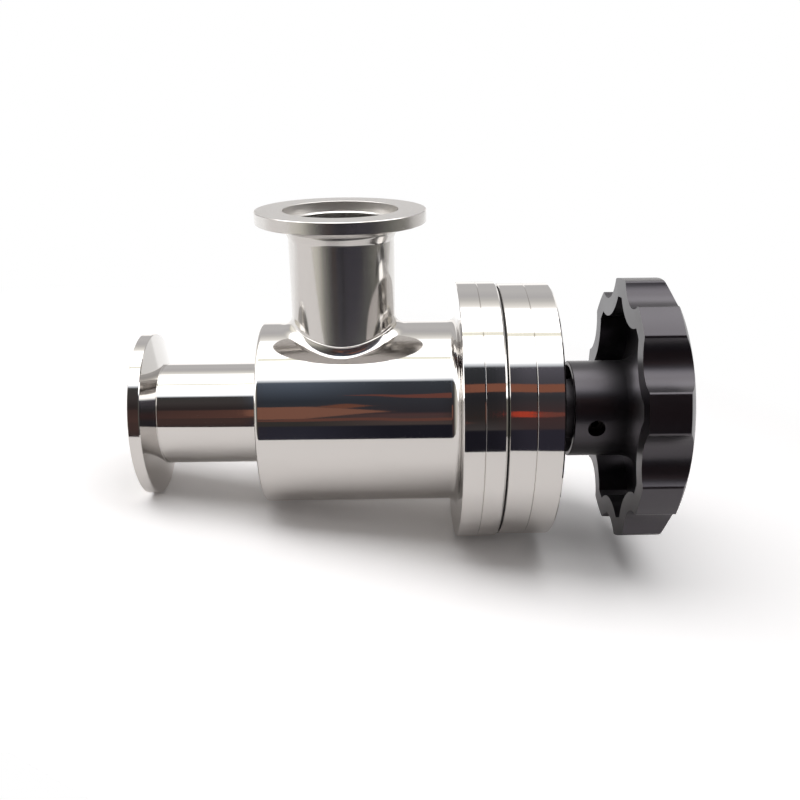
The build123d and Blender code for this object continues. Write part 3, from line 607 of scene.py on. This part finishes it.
# The room: white to the camera and an even level for matt surfaces. Polished steel sees a
# white ceiling, pale walls at the back and sides, and a dark side behind the camera, with a
# few streaks of brown wood and one of red.
def buildRoom():
    levels = {"matt": 0.28, "camera": 1.0, "steel": 3.1}
    ripples = {"scale": 9.0, "degrees": 1.2}
    leftDim = {"from": -0.27, "to": -0.15, "share": 0.2}
    world = bpy.data.worlds.new("room")
    scene.world = world
    world.use_nodes = True
    tree = world.node_tree
    tree.nodes.clear()
    way = addNode(tree, "ShaderNodeTexCoord").outputs["Generated"]
    parts = addNode(tree, "ShaderNodeSeparateXYZ", {0: way})
    towards = addNode(tree, "ShaderNodeMath", {
        0: parts.outputs["Y"], 1: -1.0}, operation="MULTIPLY")
    lift = addNode(tree, "ShaderNodeMath", {
        0: parts.outputs["Z"], 1: towards.outputs[0]}, operation="ARCTAN2")
    height = addNode(tree, "ShaderNodeMapRange", {
        "Value": lift.outputs[0], 1: -pi, 2: pi, 3: 0.0, 4: 1.0})
    across = addNode(tree, "ShaderNodeMapRange", {
        "Value": parts.outputs["X"], 1: -1.0, 2: 1.0, 3: 0.0, 4: 1.0})

    def setHeights(ramp, stops):  # each stop is its height in degrees, from -180 to 180
        setRamp(ramp, [((degrees + 180) / 360, tone) for degrees, tone in stops])

    # The floor from the back to under the camera, and the ceiling on to the back wall
    below = [(-179, "#ffffff"), (-165, "#f0eeec"), (-150, "#a8a6a2"), (-138, "#94928e"),
             (-115, "#6a6763"), (-30, "#585858"), (-20, "#565656")]
    above = [(57.5, "#c4cad2"), (62, "#f0f2f4"), (65, "#ffffff"), (86, "#ffffff"),
             (87, "#aeada3"), (90, "#aeada3"), (91, "#ffffff"), (119, "#ffffff"),
             (123, "#dcdad6"), (131, "#b5b4b2"), (138, "#a8a7a8"), (150, "#adacac"),
             (169.3, "#a3a2a2"), (171, "#e6e4e2")]
    # What stands on the dark side, from left to right: a brown cupboard, a blue curtain, a dark
    # doorway with brown things on the ground, its unlit edge, and a paler stretch of wall.
    # Each has the place across where it begins and is full, and its tones from low to high.
    panels = [
        (-1.0, -0.9, [(-17, "#333133"), (-3, "#4d3c39"), (12, "#4d3c39"), (30, "#383131"),
                      (42, "#484343"), (56.5, "#484746")]),
        (-0.154, -0.142, [(-17, "#353540"), (1.5, "#31313c"), (2.5, "#3f3c39"),
                          (33, "#383d46"), (56.5, "#626c7b")]),
        (-0.09, 0.0, [(-17, "#22222b"), (1.5, "#22222b"), (2.5, "#524947"), (16, "#5a4343"),
                      (17.5, "#36343a"), (56.5, "#434850")]),
        (0.06, 0.08, [(-17, "#201f27"), (1.5, "#201f27"), (2.5, "#4a4647"), (12, "#35302f"),
                      (30, "#2e2e32"), (56.5, "#3e4044")]),
        (0.115, 0.15, [(-17, "#33313c"), (1.5, "#33313c"), (2.5, "#493c3e"), (14, "#4d3a3b"),
                       (30, "#3f3e42"), (56.5, "#66646e")]),
    ]
    darkSide = None
    for begins, full, tones in panels:
        panel = addNode(tree, "ShaderNodeValToRGB", {"Fac": height.outputs[0]})
        setHeights(panel, below + tones + above)
        share = addNode(tree, "ShaderNodeMapRange", {
            "Value": parts.outputs["X"], 1: begins, 2: full, 3: 0.0, 4: 1.0})
        darkSide = panel.outputs[0] if darkSide is None else addNode(tree, "ShaderNodeMix", {
            0: share.outputs[0], 6: darkSide, 7: panel.outputs[0]},
            data_type="RGBA").outputs[2]
    # The side walls, from far left to far right, with nothing between them
    sides = addNode(tree, "ShaderNodeValToRGB", {"Fac": across.outputs[0]})
    setRamp(sides, [
        (0.0, "#f6f4f0"), (0.06, "#ece9e1"), (0.123, "#dad8ce"), (0.2, "#95938d"),
        (0.29, "#5e5d5b"), (0.335, "#4c4b4d"), (0.352, "#000000"), (0.61, "#000000"),
        (0.64, "#2b2a2e"), (0.83, "#2b2a2d"), (0.908, "#515050"), (0.975, "#70706a"),
        (1.0, "#8f8d86")])
    walls = addNode(tree, "ShaderNodeMix", {
        0: 1.0, 6: darkSide, 7: sides.outputs[0]}, data_type="RGBA", blend_type="LIGHTEN")
    seen = walls.outputs[2]
    ripple = addNode(tree, "ShaderNodeTexNoise", {
        "W": parts.outputs["X"], "Scale": ripples["scale"], "Detail": 3.0},
        noise_dimensions="1D")
    rippled = addNode(tree, "ShaderNodeMapRange", {
        "Value": ripple.outputs[0], 1: noiseLow, 2: noiseHigh, 3: radians(-ripples["degrees"]),
        4: radians(ripples["degrees"])})
    wavy = addNode(tree, "ShaderNodeMath", {
        0: lift.outputs[0], 1: rippled.outputs[0]}, operation="ADD")
    # Each streak: its colour, its lowest and highest place in degrees, where it starts and ends
    # from left to right, and how far it takes to reach its full width at each end. All of them
    # are dimmer on the far left, which the inlet tube mirrors.
    streaks = [
        ("#64463f", 8, 26, -0.4, -0.148, 0.06, 0.004),
        ("#8c6152", 11, 26, -0.156, 0.0, 0.004, 0.09),
        ("#7c5142", 22, 29, -0.075, -0.02, 0.03, 0.03),
        ("#94604e", 35, 42, -0.05, 0.5, 0.13, 0.1),
        ("#7a4c44", 35, 42, -0.05, 0.085, 0.13, 0.01),
        ("#c64a36", 13.4, 18.3, 0.13, 0.162, 0.006, 0.004),
        ("#7c4a42", 13.4, 18.0, 0.155, 0.22, 0.01, 0.05),
        ("#6e4a42", 7.5, 11, -0.2, 0.09, 0.12, 0.02),
    ]
    for tone, low, high, left, right, leftTaper, rightTaper in streaks:
        middle = radians((low + high) / 2)
        offLine = addNode(tree, "ShaderNodeMath", {
            0: wavy.outputs[0], 1: middle}, operation="SUBTRACT")
        off = addNode(tree, "ShaderNodeMath", {0: offLine.outputs[0]}, operation="ABSOLUTE")
        ending = addNode(tree, "ShaderNodeMapRange", {
            "Value": parts.outputs["X"], 1: right - rightTaper, 2: right, 3: 1.0, 4: 0.0})
        begin = addNode(tree, "ShaderNodeMapRange", {
            "Value": parts.outputs["X"], 1: left, 2: left + leftTaper, 3: 0.0, 4: 1.0})
        width = addNode(tree, "ShaderNodeMath", {
            0: ending.outputs[0], 1: begin.outputs[0]}, operation="MULTIPLY")
        half = addNode(tree, "ShaderNodeMath", {
            0: width.outputs[0], 1: radians((high - low) / 2)}, operation="MULTIPLY")
        inside = addNode(tree, "ShaderNodeMath", {
            0: off.outputs[0], 1: half.outputs[0]}, operation="LESS_THAN")
        shade = addNode(tree, "ShaderNodeMapRange", {
            "Value": parts.outputs["X"], 1: leftDim["from"], 2: leftDim["to"],
            3: leftDim["share"], 4: 1.0})
        share = addNode(tree, "ShaderNodeMath", {
            0: inside.outputs[0], 1: shade.outputs[0]}, operation="MULTIPLY")
        painted = addNode(tree, "ShaderNodeMix", {
            0: share.outputs[0], 6: seen, 7: hexColour(tone)}, data_type="RGBA")
        seen = painted.outputs[2]
    # The ceiling is far brighter than it can be drawn, and the back wall brighter than the front
    dazzle = addNode(tree, "ShaderNodeValToRGB", {"Fac": height.outputs[0]})
    setHeights(dazzle, [(57, "#9a9a9a"), (63, "#ffffff"), (117, "#ffffff"), (121, "#c3c3c3")])
    power = addNode(tree, "ShaderNodeMath", {
        0: dazzle.outputs[0], 1: levels["steel"]}, operation="MULTIPLY")
    steelSees = addNode(tree, "ShaderNodeBackground", {
        "Color": seen, "Strength": power.outputs[0]})
    mattSees = addNode(tree, "ShaderNodeBackground", {
        "Color": hexColour("#ffffff"), "Strength": levels["matt"]})
    cameraSees = addNode(tree, "ShaderNodeBackground", {
        "Color": hexColour("#ffffff"), "Strength": levels["camera"]})
    path = addNode(tree, "ShaderNodeLightPath")
    glossy = addNode(tree, "ShaderNodeMixShader", {
        0: path.outputs["Is Glossy Ray"], 1: mattSees.outputs[0], 2: steelSees.outputs[0]})
    anyRay = addNode(tree, "ShaderNodeMixShader", {
        0: path.outputs["Is Camera Ray"], 1: glossy.outputs[0], 2: cameraSees.outputs[0]})
    addNode(tree, "ShaderNodeOutputWorld", {"Surface": anyRay.outputs[0]})


buildRoom()

# One large softbox overhead, a little to the front
softbox = {"height": 600 * mm, "wide": 1100 * mm, "deep": 520 * mm, "back": -30 * mm,
           "radiance": 2.3}
lampData = bpy.data.lights.new("softbox", "AREA")
lampData.shape = "RECTANGLE"
lampData.size = softbox["wide"]
lampData.size_y = softbox["deep"]
lampData.energy = softbox["radiance"] * pi * softbox["wide"] * softbox["deep"]
lamp = bpy.data.objects.new("softbox", lampData)
lamp.location = (portX, softbox["back"], softbox["height"])
lamp.visible_glossy = False  # the room's white ceiling stands for it in the polished steel
scene.collection.objects.link(lamp)
print("table, room and softbox ready")

# Camera at the photograph's place, fitted in the part's frame
view = {"place": (60.72 * mm, -218.67 * mm, 81.0 * mm), "lens": 41.305, "sensor": 36.0,
        "left": -0.697, "down": 23.157, "roll": -0.493, "shiftUp": 0.0697,
        "nearest": 10 * mm, "farthest": 10.0}
cameraData = bpy.data.cameras.new("camera")
cameraData.lens = view["lens"]
cameraData.sensor_width = view["sensor"]
cameraData.shift_y = view["shiftUp"]
cameraData.clip_start = view["nearest"]
cameraData.clip_end = view["farthest"]
camera = bpy.data.objects.new("camera", cameraData)
camera.matrix_world = (
    Matrix.Translation(view["place"])
    @ Matrix.Rotation(radians(view["left"]), 4, "Z")
    @ Matrix.Rotation(radians(90 - view["down"]), 4, "X")
    @ Matrix.Rotation(radians(view["roll"]), 4, "Z")
)
scene.collection.objects.link(camera)
scene.camera = camera
print("camera ready")
